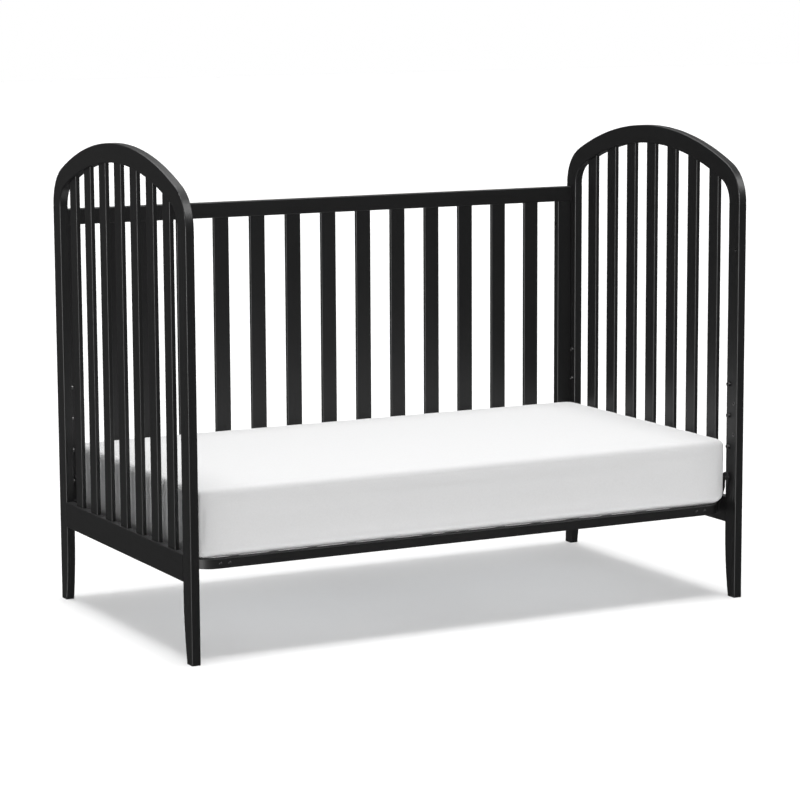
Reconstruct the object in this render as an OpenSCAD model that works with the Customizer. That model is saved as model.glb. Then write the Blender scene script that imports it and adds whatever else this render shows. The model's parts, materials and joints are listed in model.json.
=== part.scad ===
// Baby crib with arched slatted ends, shown open at the front: slatted back panel, steel
// mattress support hung from the posts, foam mattress and fitted sheet.
// Origin: centre of the footprint on the floor. X runs along the crib, -Y is the open front.

/* [Frame] */
// Overall length, over the outer faces of the posts
crib_l = 1370; // [1360:1:1400]
// Overall depth, over the outer sides of the posts
crib_d = 752; // [746:1:780]
// Height of the top of the arches
crib_h = 1062.6; // [1050:0.1:1080]
// Thickness of the end frames, along the crib
end_t = 20; // [19:1:24]
// Width of the posts and of the arch band
post_w = 42; // [40:1:46]
// Height where the posts end and the arch begins
spring_z = 905; // [900:1:912]
// Outer radius of the arch where it leaves the posts
shoulder_r = 95.2; // [90:0.1:105]
// Radius that eases the long edges of posts and arches
post_ease = 2.5; // [1:0.5:4]

/* [Legs] */
// Height at which the leg begins to narrow
taper_z = 150; // [140:1:160]
// Width of the foot on the floor
foot_w = 28; // [24:1:34]

/* [Rails] */
// Underside of the bottom rails
low_rail_z = 171; // [165:1:175]
// Height of the bottom rails
low_rail_h = 58; // [50:1:64]
// Underside of the back panel's top rail
top_rail_z = 860; // [850:1:865]
// Height of the back panel's top rail
top_rail_h = 36; // [32:1:40]
// Thickness of the back panel
back_t = 20; // [19:1:22]
// Radius that eases the long edges of the rails
rail_ease = 2; // [1:0.5:3]

/* [Slats] */
// Width of every slat
slat_w = 38; // [32:1:40]
// Thickness of every slat
slat_t = 10; // [8:0.5:12]
// Radius that eases the slats' long edges
slat_ease = 2; // [1:0.5:3]
// Slats in each end
end_slats = 7; // [7]
// Pitch of the end slats
end_pitch = 88; // [86:1:90]
// Slats in the back panel
back_slats = 13; // [13]
// Pitch of the back slats
back_pitch = 92.5; // [91:0.5:93]
// Depth that a slat enters a rail
tenon = 10; // [8:1:12]
// Depth that a slat enters the arch, at its middle
arch_tenon = 12; // [10:1:14]

/* [Mattress support] */
// Height of the lowest hanging position
level_z = 275; // [270:1:280]
// Spacing of the hanging positions
level_step = 72; // [70:1:74]
// Distance from the hanging positions to the crib's centre plane
level_y = 345; // [345]
// Underside of the support frame
ring_z = 193; // [190:1:196]
// Height of the support frame's angle section
ring_h = 20; // [18:1:22]
// Length of the support frame
ring_l = 1314.8; // [1314.8]
// Depth of the support frame
ring_d = 690; // [690]
// Corner radius of the support frame
ring_r = 50; // [45:1:55]
// Steel thickness of the support frame
ring_t = 2; // [1.5:0.5:2.5]
// Diameter of the deck wires
wire_d = 3.5; // [3:0.5:4]

/* [Mattress] */
// Length of the mattress with its sheet on
bed_l = 1314; // [1300:1:1314]
// Width of the mattress with its sheet on
bed_d = 690; // [680:1:690]
// Top of the made-up mattress
bed_top = 362; // [355:1:364]
// Radius of the mattress's upright corners
bed_r = 13; // [10:1:30]
// Radius of its top edge
bed_top_r = 38; // [30:1:45]
// Radius of its bottom edge
bed_low_r = 25; // [20:1:50]

/* [Hidden] */
$fn = 48;
arc_fn = 240;
half_l = crib_l / 2;
half_d = crib_d / 2;
in_x = half_l - end_t;
mid_x = half_l - end_t / 2;
in_y = half_d - post_w;
mid_y = half_d - post_w / 2;
fit = 0.1;
through = 5;
skin = 1;

// Arch: a flat crown arc between two shoulder arcs that meet it smoothly.
rise = crib_h - spring_z;
crown_r = (half_d * half_d + rise * rise - 2 * half_d * shoulder_r) / (2 * (rise - shoulder_r));
crown_z = crib_h - crown_r;
shoulder_y = half_d - shoulder_r;
top_z = crown_z + 2 * (spring_z - crown_z);
reveal = 1;
reveal_in = 0.8;

// Leg: its inner side is an arc that leaves the post's inner side smoothly.
taper_in = post_w - foot_w;
taper_r = (taper_z * taper_z + taper_in * taper_in) / (2 * taper_in);
taper_a = 12;
taper_band = 80;
leg_extra = 20;

// Back panel
back_y = half_d - back_t / 2;
stile_w = 36;
low_rail_top = low_rail_z + low_rail_h;
stile_tenon_w = 25;

// Holes, inserts and bolts, all for M6 screws
hole_r = 3;
shank_r = 2.95;
insert_r = 5;
insert_l = 13;
hole_extra = 1;
dowel_extra = 0.5;
sleeve_out = 4.8;
levels = [for (i = [0:3]) level_z + i * level_step];
rail_hole_y = 363;
rail_hole_z = [377, 448.5, 798];
panel_bolt_z = [300, 800];
bolt_head_r = 5;
bolt_head_t = 2;
bolt_gap = 0.3;
bolt_socket_t = 1.2;
panel_head_r = 6.5;
panel_head_t = 5;
panel_sink = 8;
stile_hole_r = 3.2;
stile_sink_r = 6.9;
socket_r = 2.3;
socket_t = 3;
tip_gap = 1;
dowel_r = 4;
dowel_l = 40;
arch_dowel_y = [347, 363];
rail_dowel_z = [186, 214];

// Support frame
ring_x = ring_l / 2;
ring_y = ring_d / 2;
flange_w = 22;
plate_t = 2.5;
foot_y = 222;
foot_l = 96;
neck_y = [286, 314, 326];
neck_z = 12;
hook_r = 12;
hook_in = 4;
hook_back = 14;
hook_out = 9.5;
hook_rise = 2;
hook_drop = [18, 22];
hook_cut = 40;
gusset_leg = 32;
gusset_h = 14;
rivet_z = ring_z + ring_h / 2;
rivet_r = 2;
rivet_head_r = 4;
rivet_head_h = 1.8;
front_rivet_x = [582, 603];
side_rivet_y = [240, 280];
hook_clear = 3.3;
cross_bar_w = 25;
cross_bar_lip = 7;
cross_bar_gap = 0.1;
spring_r = 6;
spring_l = 42;
long_wires = 7;
long_pitch = 84;
cross_wires = 13;
cross_pitch = 92;
deck_gap = 0.6;
deck_x = ring_x - flange_w - deck_gap;
deck_y = ring_y - flange_w - deck_gap;
wire_gap = 0.1;
long_z = ring_z + 10;
cross_z = long_z + wire_d + wire_gap;
hook_hole_r = 1.4;
hook_hole_out = 6;
rivet_reach = 10;

// Mattress layers
bed_gap = 0.3;
bed_z = ring_z + ring_h + bed_gap;
layer_gap = 0.4;
sheet_t = 0.8;
cover_in = 1;
cover_t = 1;
core_in = cover_in + cover_t + layer_gap;
hem_w = 90;

end_slat_i = [for (i = [0:end_slats - 1]) i];
back_slat_i = [for (i = [0:back_slats - 1]) i];
end_parts = ["front_post", "back_post", "arch", "bottom_rail"];

paint = [0.07, 0.07, 0.075];
steel_black = [0.11, 0.11, 0.115];
zinc = [0.30, 0.30, 0.31];
wire = [0.22, 0.22, 0.23];
beech = [0.78, 0.62, 0.44];
foam = [0.93, 0.90, 0.78];
ticking = [0.90, 0.91, 0.92];
cotton = [0.97, 0.97, 0.97];

function end_slat_y(i) = (i - (end_slats - 1) / 2) * end_pitch;
function back_slat_x(i) = (i - (back_slats - 1) / 2) * back_pitch;
// Height of the arch's inner edge at a distance y from the centre
function arch_under(y) = crown_z + sqrt(pow(crown_r - post_w, 2) - y * y);
function slat_top(y) = arch_under(y) + arch_tenon;
function long_wire_y(i) = (i - (long_wires - 1) / 2) * long_pitch;
function cross_wire_x(i) = (i - (cross_wires - 1) / 2) * cross_pitch;

// Rectangle with its corners rounded, centred
module rrect(x, y, r) {
    square([x - 2 * r, y], center = true);
    square([x, y - 2 * r], center = true);
    for (sx = [-1, 1], sy = [-1, 1])
        translate([sx * (x / 2 - r), sy * (y / 2 - r)]) circle(r);
}

// Cylinder along X from x0 to x1
module x_pin(r, x0, x1) {
    translate([x0, 0, 0]) rotate([0, 90, 0]) cylinder(r = r, h = x1 - x0);
}

// Cylinder along Y from y0 to y1
module y_pin(r, y0, y1) {
    translate([0, y0, 0]) rotate([-90, 0, 0]) cylinder(r = r, h = y1 - y0);
}

// The crib's ends are mirror images: everything is drawn at +X and +Y and then mirrored
module on_side(side) {
    mirror([side < 0 ? 1 : 0, 0, 0]) children();
}

module on_depth(depth) {
    mirror([0, depth < 0 ? 1 : 0, 0]) children();
}

module at_corners() {
    for (side = [-1, 1], depth = [-1, 1])
        on_side(side) on_depth(depth) children();
}

// Full ring of the arch band about (y, z), between radii r - post_w and r
module band_ring(y, z, r) {
    translate([mid_x, y, z]) rotate([90, 0, 90])
        rotate_extrude($fn = arc_fn)
            translate([r - post_w / 2, 0]) rrect(post_w, end_t, post_ease);
}

// Slab as thick as the end frame whose outline, in Y and Z, is the given polygon
module wedge(points) {
    translate([in_x - skin, 0, 0]) rotate([90, 0, 90])
        linear_extrude(end_t + 2 * skin) polygon(points);
}

module leg() {
    intersection() {
        translate([mid_x, mid_y - leg_extra / 2, 0])
            linear_extrude(taper_z) rrect(end_t, post_w + leg_extra, post_ease);
        translate([mid_x, in_y + taper_r, taper_z]) rotate([90, 0, 90]) rotate([0, 0, 180])
            rotate_extrude(angle = taper_a, $fn = arc_fn)
                translate([taper_r - taper_band / 2, 0]) rrect(taper_band, end_t, post_ease);
    }
}

module post_blank() {
    leg();
    translate([mid_x, mid_y, taper_z])
        linear_extrude(spring_z - reveal - taper_z) rrect(end_t, post_w, post_ease);
    translate([mid_x, mid_y, spring_z - reveal - skin]) linear_extrude(reveal + skin)
        rrect(end_t - 2 * reveal_in, post_w - 2 * reveal_in, post_ease - reveal_in);
}

// Blind hole in a post for a threaded insert
module insert_hole(y, z) {
    translate([0, y, z])
        x_pin(insert_r + fit / 2, in_x - through, in_x + insert_l + hole_extra);
}

// Holes that every post has: dowels from the arch and the bottom rail, and the height sleeves
module common_holes() {
    for (y = arch_dowel_y)
        translate([mid_x, y, spring_z - dowel_l / 2 - dowel_extra])
            cylinder(r = dowel_r + fit / 2, h = dowel_l);
    for (z = rail_dowel_z)
        translate([mid_x, 0, z])
            y_pin(dowel_r + fit / 2, in_y - through, in_y + dowel_l / 2 + dowel_extra);
    for (z = levels) insert_hole(level_y, z);
}

module front_post() {
    color(paint) difference() {
        post_blank();
        common_holes();
        for (z = rail_hole_z) insert_hole(rail_hole_y, z);
    }
}

module back_post() {
    color(paint) difference() {
        post_blank();
        common_holes();
        for (z = panel_bolt_z) insert_hole(back_y, z);
    }
}

// One end slat; grown, it cuts its own pockets
module end_slat_solid(i, grow) {
    y = end_slat_y(i);
    z0 = low_rail_top - tenon - grow;
    translate([mid_x, y, z0])
        linear_extrude(slat_top(y) + grow - z0)
            rrect(slat_t + 2 * grow, slat_w + 2 * grow, slat_ease);
}

module end_slat(i) {
    color(paint) end_slat_solid(i, 0);
}

module arch() {
    color(paint) difference() {
        union() {
            intersection() {
                band_ring(0, crown_z, crown_r);
                wedge([[0, crown_z], [2 * shoulder_y, top_z], [-2 * shoulder_y, top_z]]);
            }
            for (depth = [-1, 1]) on_depth(depth) intersection() {
                band_ring(shoulder_y, spring_z, shoulder_r);
                wedge([
                    [shoulder_y, spring_z], [2 * shoulder_y, spring_z], [2 * shoulder_y, top_z]
                ]);
            }
        }
        for (i = end_slat_i) end_slat_solid(i, fit);
        for (depth = [-1, 1], y = arch_dowel_y)
            translate([mid_x, depth * y, spring_z - skin])
                cylinder(r = dowel_r + fit / 2, h = dowel_l / 2 + dowel_extra + skin);
    }
}

module end_rail() {
    color(paint) difference() {
        translate([mid_x, in_y, low_rail_z + low_rail_h / 2]) rotate([90, 0, 0])
            linear_extrude(2 * in_y) rrect(end_t, low_rail_h, rail_ease);
        for (i = end_slat_i) end_slat_solid(i, fit);
        for (depth = [-1, 1], z = rail_dowel_z)
            on_depth(depth) translate([mid_x, 0, z])
                y_pin(dowel_r + fit / 2, in_y - dowel_l / 2 - dowel_extra, in_y + through);
    }
}

module back_slat_solid(i, grow) {
    z0 = low_rail_top - tenon - grow;
    translate([back_slat_x(i), back_y, z0])
        linear_extrude(top_rail_z + tenon + grow - z0)
            rrect(slat_w + 2 * grow, slat_t + 2 * grow, slat_ease);
}

module back_slat(i) {
    color(paint) back_slat_solid(i, 0);
}

module stile_tenons(grow) {
    z0 = low_rail_top - tenon - grow;
    translate([in_x - stile_w / 2, back_y, z0])
        linear_extrude(top_rail_z + tenon + grow - z0)
            rrect(stile_tenon_w + 2 * grow, slat_t + 2 * grow, slat_ease);
}

module stile() {
    color(paint) difference() {
        union() {
            translate([in_x - stile_w / 2, back_y, low_rail_top])
                linear_extrude(top_rail_z - low_rail_top) rrect(stile_w, back_t, rail_ease);
            stile_tenons(0);
        }
        for (z = panel_bolt_z) translate([0, back_y, z]) {
            x_pin(stile_hole_r, in_x - stile_w - through, in_x + through);
            x_pin(stile_sink_r, in_x - stile_w - through, in_x - stile_w + panel_sink);
        }
    }
}

// Rail of the back panel, with a pocket for each slat and stile
module back_rail(z, h) {
    color(paint) difference() {
        translate([-in_x, back_y, z + h / 2]) rotate([90, 0, 90])
            linear_extrude(2 * in_x) rrect(back_t, h, rail_ease);
        for (i = back_slat_i) back_slat_solid(i, fit);
        for (side = [-1, 1]) on_side(side) stile_tenons(fit);
    }
}

module arch_dowels() {
    color(beech) at_corners() for (y = arch_dowel_y)
        translate([mid_x, y, spring_z - dowel_l / 2]) cylinder(r = dowel_r, h = dowel_l);
}

module rail_dowels() {
    color(beech) at_corners() for (z = rail_dowel_z)
        translate([mid_x, 0, z]) y_pin(dowel_r, in_y - dowel_l / 2, in_y + dowel_l / 2);
}

module insert(y, z, proud) {
    translate([0, y, z]) difference() {
        x_pin(insert_r, in_x - proud, in_x + insert_l);
        x_pin(hole_r, in_x - proud - skin, in_x + insert_l + skin);
    }
}

module panel_inserts() {
    color(zinc) for (side = [-1, 1], z = panel_bolt_z) on_side(side) insert(back_y, z, 0);
}

module front_rail_inserts() {
    color(zinc) for (side = [-1, 1], z = rail_hole_z)
        on_side(side) on_depth(-1) insert(rail_hole_y, z, 0);
}

module height_sleeves() {
    color(zinc) at_corners() for (z = levels) insert(level_y, z, sleeve_out);
}

module panel_bolts() {
    head_x = in_x - stile_w + panel_sink;
    color(zinc) for (side = [-1, 1], z = panel_bolt_z)
        on_side(side) translate([0, back_y, z]) difference() {
            union() {
                x_pin(shank_r, head_x - skin, in_x + insert_l - tip_gap);
                x_pin(panel_head_r, head_x - panel_head_t, head_x);
            }
            translate([head_x - panel_head_t - skin, 0, 0]) rotate([0, 90, 0])
                cylinder(r = socket_r, h = socket_t + skin, $fn = 6);
        }
}

// Shoulder bolts that carry the hanger plates; each head stops its plate from moving inwards
module hanger_bolts() {
    head_x = ring_x - bolt_gap;
    color(steel_black) at_corners() translate([0, level_y, level_z]) difference() {
        union() {
            x_pin(shank_r, head_x - skin, in_x + insert_l - tip_gap);
            x_pin(bolt_head_r, head_x - bolt_head_t, head_x);
        }
        translate([head_x - bolt_head_t - skin, 0, 0]) rotate([0, 90, 0])
            cylinder(r = socket_r, h = bolt_socket_t + skin, $fn = 6);
    }
}

module ring_outline(inset) {
    rrect(ring_l - 2 * inset, ring_d - 2 * inset, ring_r - inset);
}

module rivet_holes() {
    at_corners() {
        for (x = front_rivet_x) translate([x, 0, rivet_z])
            y_pin(rivet_r + fit / 2, ring_y - rivet_reach, ring_y + rivet_reach);
        for (y = side_rivet_y) translate([0, y, rivet_z])
            x_pin(rivet_r + fit / 2, ring_x - rivet_reach, ring_x + rivet_reach);
    }
}

module support_frame() {
    color(steel_black) difference() {
        union() {
            translate([0, 0, ring_z]) linear_extrude(ring_h) difference() {
                ring_outline(0);
                ring_outline(ring_t);
            }
            translate([0, 0, ring_z + ring_h - ring_t]) linear_extrude(ring_t) difference() {
                ring_outline(ring_t / 2);
                ring_outline(flange_w);
            }
        }
        rivet_holes();
        for (i = [0:long_wires - 1], side = [-1, 1])
            translate([side * (deck_x + hook_hole_out), long_wire_y(i), ring_z + ring_h - through])
                cylinder(r = hook_hole_r, h = 2 * through);
        for (i = [0:cross_wires - 1], depth = [-1, 1])
            translate([cross_wire_x(i), depth * (deck_y + hook_hole_out), ring_z + ring_h - through])
                cylinder(r = hook_hole_r, h = 2 * through);
    }
}

// Angle bar across the middle of the support frame, under the deck
module centre_cross_bar() {
    bar_l = ring_d - 2 * ring_t - 2 * cross_bar_gap;
    color(steel_black) translate([-cross_bar_w / 2, -bar_l / 2, ring_z]) {
        cube([cross_bar_w, bar_l, ring_t]);
        cube([ring_t, bar_l, cross_bar_lip]);
    }
}

// Strip that backs each rounded corner of the support frame from inside
module corner_gussets() {
    color(steel_black) at_corners() difference() {
        translate([0, 0, rivet_z - gusset_h / 2]) linear_extrude(gusset_h) intersection() {
            difference() {
                ring_outline(ring_t);
                ring_outline(2 * ring_t);
            }
            translate([ring_x - ring_r - gusset_leg, ring_y - ring_r - gusset_leg])
                square(ring_r + gusset_leg);
        }
        for (x = front_rivet_x) translate([x, 0, rivet_z])
            y_pin(rivet_r + fit / 2, ring_y - rivet_reach, ring_y + rivet_reach);
        translate([0, side_rivet_y[1], rivet_z])
            x_pin(rivet_r + fit / 2, ring_x - rivet_reach, ring_x + rivet_reach);
    }
}

// Outline of a hanger plate: a foot along the frame's side, a sloping neck and a hook that is
// open downwards, so that the plate lifts off its bolt
module hanger_outline() {
    difference() {
        union() {
            translate([foot_y, ring_z]) square([foot_l, ring_h]);
            polygon([
                [neck_y[0], ring_z], [neck_y[1], ring_z],
                [level_y - hook_in, level_z - hook_drop[1]], [level_y - hook_in, level_z],
                [level_y - hook_back, level_z], [neck_y[2], level_z - neck_z]
            ]);
            translate([level_y, level_z + hook_rise]) circle(hook_r);
            translate([level_y, level_z - hook_drop[0]])
                square([hook_out, hook_drop[0] + hook_rise]);
        }
        translate([level_y, level_z]) circle(hook_clear);
        translate([level_y - hook_clear, ring_z - through])
            square([2 * hook_clear, level_z - ring_z + through]);
        translate([level_y + hook_out, level_z - hook_cut]) square(2 * hook_cut);
    }
}

module hanger_plates() {
    color(steel_black) at_corners() difference() {
        translate([ring_x, 0, 0]) rotate([90, 0, 90]) linear_extrude(plate_t) hanger_outline();
        for (y = side_rivet_y) translate([0, y, rivet_z])
            x_pin(rivet_r + fit / 2, ring_x - rivet_reach, ring_x + rivet_reach);
    }
}

// Domed rivet along Z from z0 to z1, with its heads outside them
module rivet(z0, z1) {
    ball_r = (rivet_head_r * rivet_head_r + rivet_head_h * rivet_head_h) / (2 * rivet_head_h);
    translate([0, 0, z0 - skin / 2]) cylinder(r = rivet_r, h = z1 - z0 + skin);
    for (end = [0, 1])
        translate([0, 0, end == 0 ? z0 : z1]) mirror([0, 0, 1 - end]) intersection() {
            translate([0, 0, rivet_head_h - ball_r]) sphere(ball_r);
            cylinder(r = rivet_head_r + skin, h = rivet_head_h + skin);
        }
}

module support_rivets() {
    color(steel_black) at_corners() {
        translate([front_rivet_x[0], 0, rivet_z]) rotate([-90, 0, 0])
            rivet(ring_y - 2 * ring_t, ring_y);
        translate([front_rivet_x[1], 0, rivet_z]) rotate([-90, 0, 0])
            rivet(ring_y - 2 * ring_t, ring_y);
        translate([0, side_rivet_y[0], rivet_z]) rotate([0, 90, 0])
            rivet(ring_x - ring_t, ring_x + plate_t);
        translate([0, side_rivet_y[1], rivet_z]) rotate([0, 90, 0])
            rivet(ring_x - 2 * ring_t, ring_x + plate_t);
    }
}

module deck_long_wires() {
    color(wire) for (i = [0:long_wires - 1]) translate([0, long_wire_y(i), long_z])
        x_pin(wire_d / 2, -(deck_x - spring_l), deck_x - spring_l);
}

module deck_cross_wires() {
    color(wire) for (i = [0:cross_wires - 1]) translate([cross_wire_x(i), 0, cross_z])
        y_pin(wire_d / 2, -(deck_y - spring_l), deck_y - spring_l);
}

// Outer shape of the coil springs that stretch the wire deck inside its frame
module deck_springs() {
    color(wire) {
        for (i = [0:long_wires - 1], side = [-1, 1])
            on_side(side) translate([0, long_wire_y(i), long_z])
                x_pin(spring_r, deck_x - spring_l, deck_x);
        for (i = [0:cross_wires - 1], depth = [-1, 1])
            on_depth(depth) translate([cross_wire_x(i), 0, cross_z])
                y_pin(spring_r, deck_y - spring_l, deck_y);
    }
}

// Upright profile of the mattress, w wide, centred on x = 0, standing on y = 0
module bed_profile(w, h, low_r, top_r) {
    translate([-(w / 2 - low_r), 0]) square([w - 2 * low_r, h / 2]);
    translate([-(w / 2 - top_r), h / 2]) square([w - 2 * top_r, h / 2]);
    translate([-w / 2, low_r]) square([w, h - low_r - top_r]);
    for (sx = [-1, 1]) {
        translate([sx * (w / 2 - low_r), low_r]) circle(low_r);
        translate([sx * (w / 2 - top_r), h - top_r]) circle(top_r);
    }
}

module bed_block(inset) {
    l = bed_l - 2 * inset;
    d = bed_d - 2 * inset;
    h = bed_top - bed_z - 2 * inset;
    translate([0, 0, bed_z + inset]) intersection() {
        linear_extrude(h) rrect(l, d, bed_r - inset);
        translate([0, d / 2, 0]) rotate([90, 0, 0])
            linear_extrude(d) bed_profile(l, h, bed_low_r - inset, bed_top_r - inset);
        translate([-l / 2, 0, 0]) rotate([90, 0, 90])
            linear_extrude(l) bed_profile(d, h, bed_low_r - inset, bed_top_r - inset);
    }
}

module mattress_core() {
    color(foam) bed_block(core_in);
}

module mattress_cover() {
    color(ticking) difference() {
        bed_block(cover_in);
        bed_block(cover_in + cover_t);
    }
}

// Sheet that wraps the mattress and is open underneath, inside its elastic hem
module fitted_sheet() {
    color(cotton) difference() {
        bed_block(0);
        bed_block(sheet_t);
        translate([-(bed_l / 2 - hem_w), -(bed_d / 2 - hem_w), bed_z - skin])
            cube([bed_l - 2 * hem_w, bed_d - 2 * hem_w, 3 * skin]);
    }
}

for (side = [-1, 1]) {
    name = side < 0 ? "left_" : "right_";
    on_side(side) on_depth(-1) front_post();
    on_side(side) back_post();
    on_side(side) arch();
    on_side(side) end_rail();
    for (i = end_slat_i)
        on_side(side) end_slat(i);
    on_side(side) stile();
}
for (i = back_slat_i)
    back_slat(i);
back_rail(top_rail_z, top_rail_h);  // back_top_rail
back_rail(low_rail_z, low_rail_h);  // back_bottom_rail
arch_dowels();
rail_dowels();
panel_bolts();
panel_inserts();
front_rail_inserts();
height_sleeves();
hanger_bolts();
support_frame();
centre_cross_bar();
corner_gussets();
hanger_plates();
support_rivets();
deck_long_wires();
deck_cross_wires();
deck_springs();
mattress_core();
mattress_cover();
fitted_sheet();
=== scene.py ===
"""Looks for a baby crib: satin black wood, black steel mattress support, mattress and fitted sheet.

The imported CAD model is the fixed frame. The wood and the steel keep their CAD shapes and get
materials here. The mattress, its sheet and the deck's coil springs are built here, in place of
their plain CAD solids. Lengths are in metres, angles in degrees, and X, Y and Z are the frame's.
"""

import itertools
import json
import math

import bpy
import numpy as np
from mathutils import Matrix, Vector


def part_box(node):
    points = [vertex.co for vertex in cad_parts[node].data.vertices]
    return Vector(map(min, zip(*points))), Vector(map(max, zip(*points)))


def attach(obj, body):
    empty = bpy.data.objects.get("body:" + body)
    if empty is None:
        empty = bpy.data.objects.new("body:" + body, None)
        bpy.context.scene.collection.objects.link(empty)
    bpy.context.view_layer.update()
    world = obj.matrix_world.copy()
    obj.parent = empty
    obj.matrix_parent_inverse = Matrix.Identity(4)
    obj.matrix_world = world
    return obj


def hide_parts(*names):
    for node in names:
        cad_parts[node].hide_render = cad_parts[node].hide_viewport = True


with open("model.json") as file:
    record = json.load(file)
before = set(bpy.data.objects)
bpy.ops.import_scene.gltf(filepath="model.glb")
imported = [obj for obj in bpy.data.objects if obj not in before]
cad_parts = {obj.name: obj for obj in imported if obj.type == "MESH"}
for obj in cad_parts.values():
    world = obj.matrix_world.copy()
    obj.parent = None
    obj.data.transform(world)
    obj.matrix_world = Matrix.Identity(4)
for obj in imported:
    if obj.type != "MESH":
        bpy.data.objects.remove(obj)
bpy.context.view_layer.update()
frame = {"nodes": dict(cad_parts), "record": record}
NODES = frame["nodes"]
scene = bpy.context.scene

# ---------------------------------------------------------------- camera, light and floor

CAMERA_AT = (-2.947, -5.642, 1.421)
CAMERA_YAW = 27.58  # from +Y towards +X
CAMERA_PITCH = -8.6
CAMERA_ROLL = -0.27
CAMERA_LENS = 127.3
CAMERA_REACH = 200

FLOOR_SIZE = 60
FLOOR_WHITE = 0.97
SKY_TOP = 0.34
SKY_LOW = 0.13
SKY_SEEN = 1.0
# name: strength, spread, where it shines from, casts shadows, lights matt surfaces
SUNS = {
    "overhead": (2.1, 24, (0.0, 0.0, 1.0), True, True),
    "ceiling": (1.27, 40, (0.1, 0.6, 1.0), False, True),
    "front": (0.29, 40, (-0.5, -0.85, 0.2), False, True),
    "gleam": (2.0, 30, (0.458, -0.568, 0.684), False, False),
    "rim": (3.0, 14, (-0.86, -0.44, 0.03), False, False),
}


def add_camera():
    yaw, pitch, roll = (math.radians(a) for a in (CAMERA_YAW, CAMERA_PITCH, CAMERA_ROLL))
    ahead = Vector((
        math.sin(yaw) * math.cos(pitch), math.cos(yaw) * math.cos(pitch), math.sin(pitch)
    ))
    right = Vector((math.cos(yaw), -math.sin(yaw), 0))
    up = right.cross(ahead)
    turned_right = math.cos(roll) * right + math.sin(roll) * up
    turned_up = math.cos(roll) * up - math.sin(roll) * right
    data = bpy.data.cameras.new("camera")
    data.lens = CAMERA_LENS
    data.clip_end = CAMERA_REACH
    camera = bpy.data.objects.new("camera", data)
    turn = Matrix((turned_right, turned_up, -ahead)).transposed().to_4x4()
    camera.matrix_world = Matrix.Translation(CAMERA_AT) @ turn
    scene.collection.objects.link(camera)
    scene.camera = camera


def add_sky():
    """A plain studio surround: brighter overhead than at the horizon, and white where it shows."""
    world = bpy.data.worlds.new("studio")
    world.use_nodes = True
    scene.world = world
    tree = world.node_tree
    tree.nodes.clear()
    out = tree.nodes.new("ShaderNodeOutputWorld")
    light = tree.nodes.new("ShaderNodeBackground")
    where = tree.nodes.new("ShaderNodeTexCoord")
    split = tree.nodes.new("ShaderNodeSeparateXYZ")
    ramp = tree.nodes.new("ShaderNodeMapRange")
    ramp.inputs["To Min"].default_value = SKY_LOW
    ramp.inputs["To Max"].default_value = SKY_TOP
    seen = tree.nodes.new("ShaderNodeBackground")
    seen.inputs["Strength"].default_value = SKY_SEEN
    path = tree.nodes.new("ShaderNodeLightPath")
    pick = tree.nodes.new("ShaderNodeMixShader")
    tree.links.new(where.outputs["Generated"], split.inputs[0])
    tree.links.new(split.outputs["Z"], ramp.inputs["Value"])
    tree.links.new(ramp.outputs[0], light.inputs["Strength"])
    for node in (light, seen):
        node.inputs["Color"].default_value = (1, 1, 1, 1)
    tree.links.new(path.outputs["Is Camera Ray"], pick.inputs[0])
    tree.links.new(light.outputs[0], pick.inputs[1])
    tree.links.new(seen.outputs[0], pick.inputs[2])
    tree.links.new(pick.outputs[0], out.inputs["Surface"])


def add_suns():
    for name, (strength, spread, way, shadows, matt) in SUNS.items():
        data = bpy.data.lights.new(name, "SUN")
        data.energy = strength
        data.angle = math.radians(spread)
        data.use_shadow = shadows
        sun = bpy.data.objects.new(name, data)
        sun.rotation_euler = Vector(way).to_track_quat("Z", "Y").to_euler()
        sun.visible_diffuse = matt
        scene.collection.objects.link(sun)


def add_floor():
    half = FLOOR_SIZE / 2
    mesh = bpy.data.meshes.new("floor")
    mesh.from_pydata(
        [(-half, -half, 0), (half, -half, 0), (half, half, 0), (-half, half, 0)], [], [(0, 1, 2, 3)]
    )
    floor = bpy.data.objects.new("floor", mesh)
    scene.collection.objects.link(floor)
    mat = bpy.data.materials.new("floor")
    mat.use_nodes = True
    shader = mat.node_tree.nodes["Principled BSDF"]
    shader.inputs["Base Color"].default_value = (FLOOR_WHITE, FLOOR_WHITE, FLOOR_WHITE, 1)
    shader.inputs["Roughness"].default_value = 0.9
    shader.inputs["Specular IOR Level"].default_value = 0.0
    mesh.materials.append(mat)
    floor.visible_glossy = False


# ---------------------------------------------------------------- materials

MIX_FIRST, MIX_SECOND, MIX_OUT = 6, 7, 2  # the Mix node's colour sockets
OWN_SHIFT = 7.3  # the most that one object's textures are shifted, in metres
SHEET_THREAD = 0.0009
TICKING_THREAD = 0.0014
TICKING_STRIPE = 0.018  # from one stripe to the next
STRIPE_EDGE = (0.78, 0.86)  # a stripe sets in as a sine wave passes from one to the other


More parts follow.
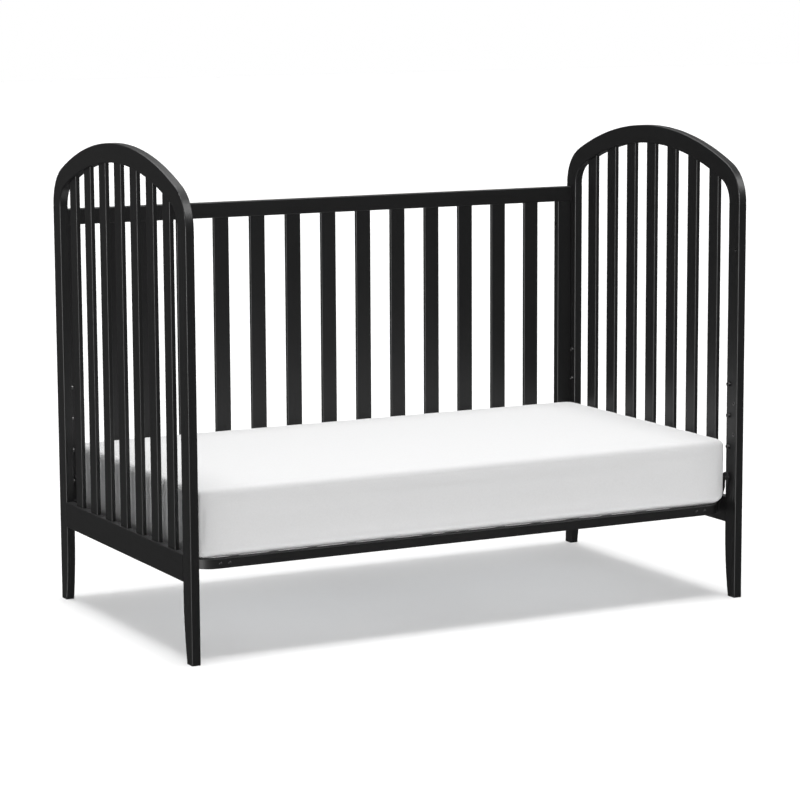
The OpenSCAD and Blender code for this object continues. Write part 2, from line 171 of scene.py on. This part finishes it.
class Look:
    """A material under construction: its node tree, and short ways to add nodes to it."""

    def __init__(self, name, **settings):
        self.mat = bpy.data.materials.new(name)
        self.mat.use_nodes = True
        self.tree = self.mat.node_tree
        self.shader = self.tree.nodes["Principled BSDF"]
        for socket, value in settings.items():
            self.shader.inputs[socket.replace("_", " ")].default_value = value

    def add(self, kind, inputs=None, **props):
        node = self.tree.nodes.new("ShaderNode" + kind)
        for key, value in props.items():
            setattr(node, key, value)
        for socket, value in (inputs or {}).items():
            if isinstance(value, bpy.types.NodeSocket):
                self.tree.links.new(value, node.inputs[socket])
            else:
                node.inputs[socket].default_value = value
        return node

    def coords(self, scale):
        """Object coordinates, scaled, with an offset of its own for each object."""
        where = self.add("TexCoord").outputs["Object"]
        own = self.add("ObjectInfo").outputs["Random"]
        shift = self.add("Math", {0: own, 1: OWN_SHIFT}, operation="MULTIPLY").outputs[0]
        moved = self.add("VectorMath", {0: where, 1: shift}, operation="ADD").outputs[0]
        return self.add("VectorMath", {0: moved, 1: scale}, operation="MULTIPLY").outputs[0]

    def noise(self, at, detail=3.0, rough=0.5):
        inputs = {"Vector": at, "Scale": 1.0, "Detail": detail, "Roughness": rough}
        return self.add("TexNoise", inputs).outputs["Fac"]

    def wave(self, value, pitch):
        """A sine wave over value, from -1 to 1, that repeats at every pitch."""
        turned = self.add("Math", {0: value, 1: 2 * math.pi / pitch}, operation="MULTIPLY")
        return self.add("Math", {0: turned.outputs[0]}, operation="SINE").outputs[0]

    def spread(self, value, low, high):
        """value, from 0 to 1, spread between low and high."""
        return self.add("MapRange", {"Value": value, "To Min": low, "To Max": high}).outputs[0]

    def mix(self, value, first, second):
        node = self.add("Mix", {0: value}, data_type="RGBA")
        node.inputs[MIX_FIRST].default_value = (*first, 1)
        node.inputs[MIX_SECOND].default_value = (*second, 1)
        return node.outputs[MIX_OUT]

    def bump(self, height, depth, normal=None):
        inputs = {"Height": height, "Distance": depth, "Strength": 1.0}
        if normal is not None:
            inputs["Normal"] = normal
        return self.add("Bump", inputs).outputs[0]

    def link(self, output, socket):
        self.tree.links.new(output, self.shader.inputs[socket])


def black_paint(name, along):
    """Satin black paint on wood whose grain runs along the given axis: 0, 1 or 2."""
    look = Look(name, Specular_IOR_Level=0.4)
    stretched = [70.0] * 3
    stretched[along] = 2.5
    grain = look.noise(look.coords(stretched), detail=5, rough=0.6)
    pores = look.noise(look.coords([9 * s for s in stretched]), detail=2)
    peel = look.noise(look.coords((900, 900, 900)), detail=1)
    wear = look.noise(look.coords((6, 6, 6)), detail=4)
    look.link(look.mix(grain, (0.0055, 0.0055, 0.0058), (0.0095, 0.0095, 0.0099)), "Base Color")
    look.link(look.spread(wear, 0.34, 0.44), "Roughness")
    normal = look.bump(grain, 0.00035)
    normal = look.bump(pores, 0.00006, normal)
    look.link(look.bump(peel, 0.00002, normal), "Normal")
    return look.mat


def powder_coat():
    look = Look("black_steel", Specular_IOR_Level=0.4)
    peel = look.noise(look.coords((700, 700, 700)), detail=3)
    dust = look.noise(look.coords((9, 9, 9)), detail=5)
    look.link(look.mix(dust, (0.006, 0.006, 0.0062), (0.010, 0.010, 0.0104)), "Base Color")
    look.link(look.spread(dust, 0.38, 0.52), "Roughness")
    look.link(look.bump(peel, 0.00006), "Normal")
    return look.mat


def dark_metal(name, dark, light, low_rough, high_rough, scale):
    look = Look(name, Metallic=1.0)
    brushed = look.noise(look.coords(scale), detail=4)
    cloud = look.noise(look.coords((60, 60, 60)), detail=4)
    look.link(look.mix(cloud, dark, light), "Base Color")
    look.link(look.spread(cloud, low_rough, high_rough), "Roughness")
    look.link(look.bump(brushed, 0.00004), "Normal")
    return look.mat


def turned_beech():
    look = Look("dowel_wood", Specular_IOR_Level=0.3)
    grain = look.noise(look.coords((300, 300, 40)), detail=5)
    look.link(look.mix(grain, (0.42, 0.27, 0.15), (0.66, 0.48, 0.30)), "Base Color")
    look.link(look.spread(grain, 0.55, 0.7), "Roughness")
    look.link(look.bump(grain, 0.0002), "Normal")
    return look.mat


def weave(look, pitch):
    """Height of a plain weave of that pitch, over the cloth's own cut."""
    where = look.add("UVMap", uv_map="cut").outputs[0]
    split = look.add("SeparateXYZ", {0: where}).outputs
    waves = [look.wave(split[axis], pitch) for axis in (0, 1)]
    product = look.add("Math", {0: waves[0], 1: waves[1]}, operation="MULTIPLY").outputs[0]
    return look.add("MapRange", {"Value": product, "From Min": -1.0}).outputs[0]


def cotton_sheet():
    look = Look("sheet_cotton", Sheen_Weight=0.15, Sheen_Roughness=0.5, Specular_IOR_Level=0.15)
    threads = weave(look, SHEET_THREAD)
    slub = look.noise(look.coords((260, 260, 260)), detail=3)
    soft = look.noise(look.coords((9, 9, 9)), detail=2)
    look.link(look.mix(slub, (0.78, 0.78, 0.78), (0.84, 0.84, 0.845)), "Base Color")
    look.link(look.spread(slub, 0.82, 0.95), "Roughness")
    normal = look.bump(soft, 0.0012)
    normal = look.bump(slub, 0.00010, normal)
    look.link(look.bump(threads, 0.00012, normal), "Normal")
    return look.mat


def ticking_cloth():
    """Striped ticking: narrow grey-blue stripes on a pale ground."""
    look = Look("ticking", Sheen_Weight=0.1, Specular_IOR_Level=0.2)
    threads = weave(look, TICKING_THREAD)
    where = look.add("UVMap", uv_map="cut").outputs[0]
    along = look.add("SeparateXYZ", {0: where}).outputs[1]
    edge = dict(zip(("From Min", "From Max"), STRIPE_EDGE))
    stripe = look.add("MapRange", {"Value": look.wave(along, TICKING_STRIPE), **edge}).outputs[0]
    look.link(look.mix(stripe, (0.74, 0.75, 0.76), (0.42, 0.47, 0.54)), "Base Color")
    look.link(look.spread(threads, 0.75, 0.9), "Roughness")
    look.link(look.bump(threads, 0.0002), "Normal")
    return look.mat


def open_foam():
    look = Look("foam", Specular_IOR_Level=0.1)
    cells = look.add("TexVoronoi", {"Vector": look.coords((900, 900, 900)), "Scale": 1.0})
    cloud = look.noise(look.coords((15, 15, 15)), detail=3)
    look.link(look.mix(cloud, (0.78, 0.71, 0.50), (0.86, 0.80, 0.62)), "Base Color")
    look.link(look.spread(cloud, 0.9, 1.0), "Roughness")
    look.link(look.bump(cells.outputs["Distance"], 0.0006), "Normal")
    return look.mat


MATERIALS = {
    "dowel_wood": turned_beech(),
    "black_steel": powder_coat(),
    "zinc_steel": dark_metal(
        "zinc_steel", (0.060, 0.060, 0.062), (0.110, 0.108, 0.106), 0.28, 0.42, (400, 400, 400)
    ),
    "wire_steel": dark_metal(
        "wire_steel", (0.030, 0.030, 0.031), (0.055, 0.055, 0.056), 0.32, 0.48, (700, 700, 90)
    ),
    "foam": open_foam(),
    "ticking": ticking_cloth(),
    "sheet_cotton": cotton_sheet(),
}
PAINTS = [black_paint("ebony_paint_" + name, axis) for axis, name in enumerate("xyz")]


def dress(obj, mat):
    obj.data.materials.clear()
    obj.data.materials.append(mat)


def dress_cad_nodes():
    slots = {s["node"]: s["material_slot"] for s in frame["record"]["subparts"]}
    for name, obj in NODES.items():
        if slots[name] == "ebony_paint":
            low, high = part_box(name)
            size = high - low
            dress(obj, PAINTS[max(range(3), key=lambda axis: size[axis])])
        else:
            dress(obj, MATERIALS[slots[name]])


# ---------------------------------------------------------------- mattress and sheet

TOP_R = 0.013  # radius of the top edge
LOW_R = 0.025  # radius of the bottom edge
CORNER_R = 0.013  # radius of the upright corners, half-way up
CORNER_GROWS = 0.4  # how much rounder the corners get towards the top and the bottom
CORNER_FADE = 0.12  # how far in over the top and the underside the corners' roundness fades out
CORNER_SHARE = 0.98  # the most that the corners take of a level's half width
TOUCHING = 1e-7  # two places closer than this are the same
NOT_ZERO = 1e-9  # keeps a divisor off zero
ZONE_LINES = 7  # grid lines over half of a rounded edge
CORE_CELL = 0.03
COVER_CELL = 0.016
SHEET_CELL = 0.008
UNDERSIDE_AWAY = 4  # how far off the underside lies in the flat cut
SHEET_CLOTH = 0.0006
HEM_WIDTH = 0.09
HEM_PINNED = 0.001  # how far up the sheet is pinned while it settles
CROWN = 0.001  # how far the middle of the sheet's top stands up before it settles
CLOTH = {
    "quality": 5,
    "mass": 0.2,
    "tension_stiffness": 12,
    "compression_stiffness": 12,
    "shear_stiffness": 4,
    "bending_stiffness": 0.2,
    "use_pressure": True,
    "uniform_pressure_force": 1.2,
}
SWELL_FRAMES = 20
SWELL_CAP = (0.0, 0.006, 0.002)  # the most that a point moves along X, Y and Z
SWELL_SMOOTH = 40  # rounds of smoothing


def lattice(half, zone, cell):
    """Grid lines from -half to half: even in the middle, closer over the rounded edges."""
    core = half - zone
    steps = max(2, round(2 * core / cell))
    middle = np.linspace(-core, core, steps + 1)
    angles = np.radians(np.linspace(0, 45, ZONE_LINES + 1)[1:])
    edge = core + zone * np.tan(angles)
    return np.concatenate([-edge[::-1], middle, edge])


def rounded(points, low, high):
    """Moves points of a box's surface onto the same box with its edges rounded. Every level of
    it is a rectangle with round corners, drawn in from the box's sides near top and bottom."""
    centre, half = (low + high) / 2, (high - low) / 2
    off = points - centre
    upper = off[:, 2] > 0
    radius = np.where(upper, TOP_R, LOW_R)
    level = half[2] - np.abs(off[:, 2])  # from the top or the underside
    inward = np.min(half[:2] - np.abs(off[:, :2]), axis=1).clip(0)  # from the nearest side
    over = inward > TOUCHING
    angle = np.where(
        over,
        np.pi / 2 - np.arctan(np.clip(radius - inward, 0, None) / radius),
        np.arctan(np.clip(radius - level, 0, None) / radius),
    )
    drawn = radius * (1 - np.cos(angle))
    height = half[2] - radius * (1 - np.sin(angle))
    flat = over & (inward > radius)
    drawn = np.where(flat, inward, drawn)
    height = np.where(level > radius, np.abs(off[:, 2]), height)
    span = half[:2] - drawn[:, None]
    plan = off[:, :2] * span / np.maximum(half[:2] - inward[:, None], NOT_ZERO)
    bend = CORNER_R + CORNER_GROWS * np.minimum(drawn, radius)
    bend = bend * np.clip(1 - (drawn - radius) / CORNER_FADE, 0, 1)
    bend = np.minimum(bend, span.min(axis=1) * CORNER_SHARE)[:, None]
    near = np.clip(plan, bend - span, span - bend)
    out = plan - near
    length = np.maximum(np.linalg.norm(out, axis=1, keepdims=True), NOT_ZERO)
    on_edge = np.abs(np.abs(plan) - span).min(axis=1, keepdims=True) < TOUCHING
    plan = np.where(on_edge & (bend > TOUCHING), near + out / length * bend, plan)
    return centre + np.column_stack([plan, np.sign(off[:, 2]) * height])


def squares(last):
    """Every square of a box's grid: its axis, its side (0 low, 1 high) and its corners, which
    are counted in grid lines from 0 to last."""
    for axis in range(3):
        u, v = [a for a in range(3) if a != axis]
        for side, i, j in itertools.product((0, 1), range(last[u]), range(last[v])):
            corners = [(i, j), (i + 1, j), (i + 1, j + 1), (i, j + 1)]
            if (side == 1) == (axis == 1):
                corners.reverse()
            keys = []
            for p, q in corners:
                key = [side * last[axis]] * 3
                key[u], key[v] = p, q
                keys.append(tuple(key))
            yield axis, side, keys


def cut_point(axis, side, at, half):
    """Where a point lies on the block's flat cut: the top in the middle, the four sides folded
    out round it, and the underside apart."""
    way = 2 * side - 1
    if axis == 0:
        return (half[0] + half[2] - at[2]) * way, at[1]
    if axis == 1:
        return at[0], (half[1] + half[2] - at[2]) * way
    return at[0] + UNDERSIDE_AWAY * (1 - side), at[1]


def soft_block(name, low, high, cell, open_below=None):
    """A rounded block on a regular grid, with the flat cut's own coordinates as UVs in metres.
    open_below leaves out the underside further in than that from its edges."""
    low, high = np.array(low), np.array(high)
    half = (high - low) / 2
    lines = [lattice(h, (TOP_R + LOW_R) / 2, cell) for h in half]
    index, points, faces, cuts = {}, [], [], []
    for axis, side, keys in squares([len(line) - 1 for line in lines]):
        corners = np.array([[lines[a][key[a]] for a in range(3)] for key in keys])
        inset = min(half[:2] - abs(corners.mean(axis=0)[:2]))
        if open_below is not None and axis == 2 and side == 0 and inset > open_below:
            continue
        for key, at in zip(keys, corners):
            if key not in index:
                index[key] = len(points)
                points.append(at)
            cuts.append(cut_point(axis, side, at, half))
        faces.append([index[key] for key in keys])
    placed = rounded(np.array(points) + (low + high) / 2, low, high)
    mesh = bpy.data.meshes.new(name)
    mesh.from_pydata(placed.tolist(), [], faces)
    layer = mesh.uv_layers.new(name="cut")
    layer.data.foreach_set("uv", np.array(cuts, np.float32).ravel())
    mesh.polygons.foreach_set("use_smooth", [True] * len(faces))
    obj = bpy.data.objects.new(name, mesh)
    scene.collection.objects.link(obj)
    return obj


def crown(obj, low, high, rise):
    """Domes the top of a block slightly, most in the middle."""
    for vertex in obj.data.vertices:
        x, y = vertex.co.x / high[0], vertex.co.y / high[1]
        share = max(0.0, (1 - x * x) * (1 - y * y))
        height = max(0.0, (vertex.co.z - low[2]) / (high[2] - low[2]))
        vertex.co.z += rise * share ** 0.5 * height ** 3


def settle(obj, rest, bottom):
    """How far each point moves as cloth that is pinned at the bottom and pushed out from inside."""
    hem = obj.vertex_groups.new(name="hem")
    hem.add([i for i, at in enumerate(rest) if at[2] < bottom + HEM_PINNED], 1.0, "REPLACE")
    cloth = obj.modifiers.new("settle", "CLOTH")
    for setting, value in CLOTH.items():
        setattr(cloth.settings, setting, value)
    cloth.settings.vertex_group_mass = "hem"
    cloth.settings.effector_weights.gravity = 0
    cloth.collision_settings.use_collision = False
    for step in range(1, SWELL_FRAMES + 1):
        scene.frame_set(step)
    settled = obj.evaluated_get(bpy.context.evaluated_depsgraph_get()).to_mesh()
    move = np.array([v.co for v in settled.vertices]) - rest
    obj.to_mesh_clear()
    obj.modifiers.remove(cloth)
    obj.vertex_groups.remove(hem)
    scene.frame_set(1)
    return move


def smoothed(move, mesh):
    """Averages every point's movement with its neighbours', over and over."""
    edges = np.array([e.vertices[:] for e in mesh.edges])
    neighbours = np.bincount(edges.ravel(), minlength=len(move))[:, None]
    for _ in range(SWELL_SMOOTH):
        total = np.zeros_like(move)
        np.add.at(total, edges[:, 0], move[edges[:, 1]])
        np.add.at(total, edges[:, 1], move[edges[:, 0]])
        move = (move + total / neighbours) / 2
    return move


def swell(obj, low):
    """Settles the sheet over its springy filling. No point moves into the filling, further than
    SWELL_CAP, or along the crib, where the hanger plates are close."""
    mesh = obj.data
    rest = np.array([v.co for v in mesh.vertices])
    normals = np.array([v.normal for v in mesh.vertices])
    move = smoothed(settle(obj, rest, low[2]), mesh)
    inward = np.minimum(np.sum(move * normals, axis=1, keepdims=True), 0)
    move -= inward * normals
    for axis, cap in enumerate(SWELL_CAP):
        move[:, axis] = cap * np.tanh(move[:, axis] / cap) if cap else 0
    mesh.vertices.foreach_set("co", (rest + move).ravel())
    mesh.update()


def add_mattress():
    low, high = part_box("mattress_core")
    core = soft_block("foam_core", low, high, CORE_CELL)
    dress(core, MATERIALS["foam"])
    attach(core, "mattress")
    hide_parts("mattress_core")
    low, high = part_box("mattress_cover")
    cover = soft_block("mattress_ticking", low, high, COVER_CELL)
    dress(cover, MATERIALS["ticking"])
    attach(cover, "mattress")
    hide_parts("mattress_cover")
    return cover


def add_sheet():
    low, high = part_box("fitted_sheet")
    sheet = soft_block("sheet", low, high, SHEET_CELL, open_below=HEM_WIDTH)
    crown(sheet, low, high, CROWN)
    swell(sheet, low)
    dress(sheet, MATERIALS["sheet_cotton"])
    thick = sheet.modifiers.new("cloth", "SOLIDIFY")
    thick.thickness = SHEET_CLOTH
    thick.offset = -1
    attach(sheet, "mattress")
    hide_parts("fitted_sheet")


# ---------------------------------------------------------------- coil springs of the deck

SPRING_R = 0.0052  # from the coil's axis to the middle of its wire
SPRING_WIRE = 0.0008  # radius of the coil's wire
SPRING_TURNS = 15
TURN_STEPS = 14
RING_SIDES = 6
COIL_IN = 0.006  # from the deck wire's end to the coil
COIL_OUT = 0.004  # from the coil to the spring's outer end
WIRE_HOOK = ((0.001, -0.003), (0.0005, 0.003), (0.003, 0.0042))  # outwards and up
HOOK_OUT = 0.006  # from the spring's outer end to its hole in the flange
HOOK_START = 0.0022  # above the spring's axis
HOOK_RISE = (-0.004, 0.0006)  # below and above the flange's top
ROW_GAP = 0.01  # points further apart than this belong to different wires


def tube(path, radius):
    """Points and faces of a tube that follows path, with closed ends."""
    count = len(path)
    ahead = [(path[min(i + 1, count - 1)] - path[max(i - 1, 0)]).normalized() for i in range(count)]
    across = ahead[0].orthogonal().normalized()
    points, faces = [], []
    for i, (at, way) in enumerate(zip(path, ahead)):
        across = (across - way * across.dot(way)).normalized()
        other = way.cross(across)
        for k in range(RING_SIDES):
            turn = 2 * math.pi * k / RING_SIDES
            points.append(at + radius * (math.cos(turn) * across + math.sin(turn) * other))
        if i:
            a = (i - 1) * RING_SIDES
            for k in range(RING_SIDES):
                n = (k + 1) % RING_SIDES
                faces.append((a + k, a + n, a + RING_SIDES + n, a + RING_SIDES + k))
    faces.append(tuple(range(RING_SIDES - 1, -1, -1)))
    faces.append(tuple((count - 1) * RING_SIDES + k for k in range(RING_SIDES)))
    return points, faces


def spring_path(wire_end, outer_end, hole):
    """A coil between two hooks: one at the deck wire's end, and one from the spring's outer end
    up through its hole in the flange."""
    start, end, hook = Vector(wire_end), Vector(outer_end), Vector(hole)
    up = Vector((0, 0, 1))
    way = (end - start).normalized()
    side = way.cross(up)
    coil_a, coil_b = start + way * COIL_IN, end - way * COIL_OUT
    path = [start + way * out + up * rise for out, rise in WIRE_HOOK]
    steps = SPRING_TURNS * TURN_STEPS
    for i in range(steps + 1):
        turn = 2 * math.pi * i / TURN_STEPS
        at = coil_a + (coil_b - coil_a) * (i / steps)
        path.append(at + SPRING_R * (math.cos(turn) * up + math.sin(turn) * side))
    path.append(end + up * HOOK_START)
    path += [hook + up * rise for rise in HOOK_RISE]
    return path


def wire_rows(node, axis):
    """Where the parallel wires of a node lie along an axis that crosses them."""
    places = sorted({round(v.co[axis], 3) for v in NODES[node].data.vertices})
    rows = [[places[0]]]
    for before, place in zip(places, places[1:]):
        if place - before > ROW_GAP:
            rows.append([])
        rows[-1].append(place)
    return [(row[0] + row[-1]) / 2 for row in rows]


def add_springs():
    """One coil spring at each end of every deck wire, hooked into the frame's flange."""
    flange_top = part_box("support_frame")[1].z
    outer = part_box("deck_springs")[1]
    points, faces = [], []
    for name, axis in (("deck_long_wires", 0), ("deck_cross_wires", 1)):
        wire_low, wire_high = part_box(name)
        z = (wire_low.z + wire_high.z) / 2
        knots = (
            (wire_high[axis], z), (outer[axis], z), (outer[axis] + HOOK_OUT, flange_top)
        )
        for row, side in itertools.product(wire_rows(name, 1 - axis), (-1, 1)):
            ends = []
            for reach, height in knots:
                at = [0, 0, height]
                at[axis], at[1 - axis] = side * reach, row
                ends.append(at)
            ring, quads = tube(spring_path(*ends), SPRING_WIRE)
            base = len(points)
            points.extend(ring)
            faces.extend(tuple(base + k for k in quad) for quad in quads)
    mesh = bpy.data.meshes.new("deck_coil_springs")
    mesh.from_pydata([tuple(p) for p in points], [], faces)
    mesh.polygons.foreach_set("use_smooth", [True] * len(faces))
    obj = bpy.data.objects.new("deck_coil_springs", mesh)
    scene.collection.objects.link(obj)
    dress(obj, MATERIALS["wire_steel"])
    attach(obj, "support")
    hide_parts("deck_springs")


scene.view_settings.view_transform = "Standard"
scene.view_settings.look = "None"
add_camera()
add_sky()
add_suns()
add_floor()
dress_cad_nodes()
pad = add_mattress()
add_sheet()
add_springs()
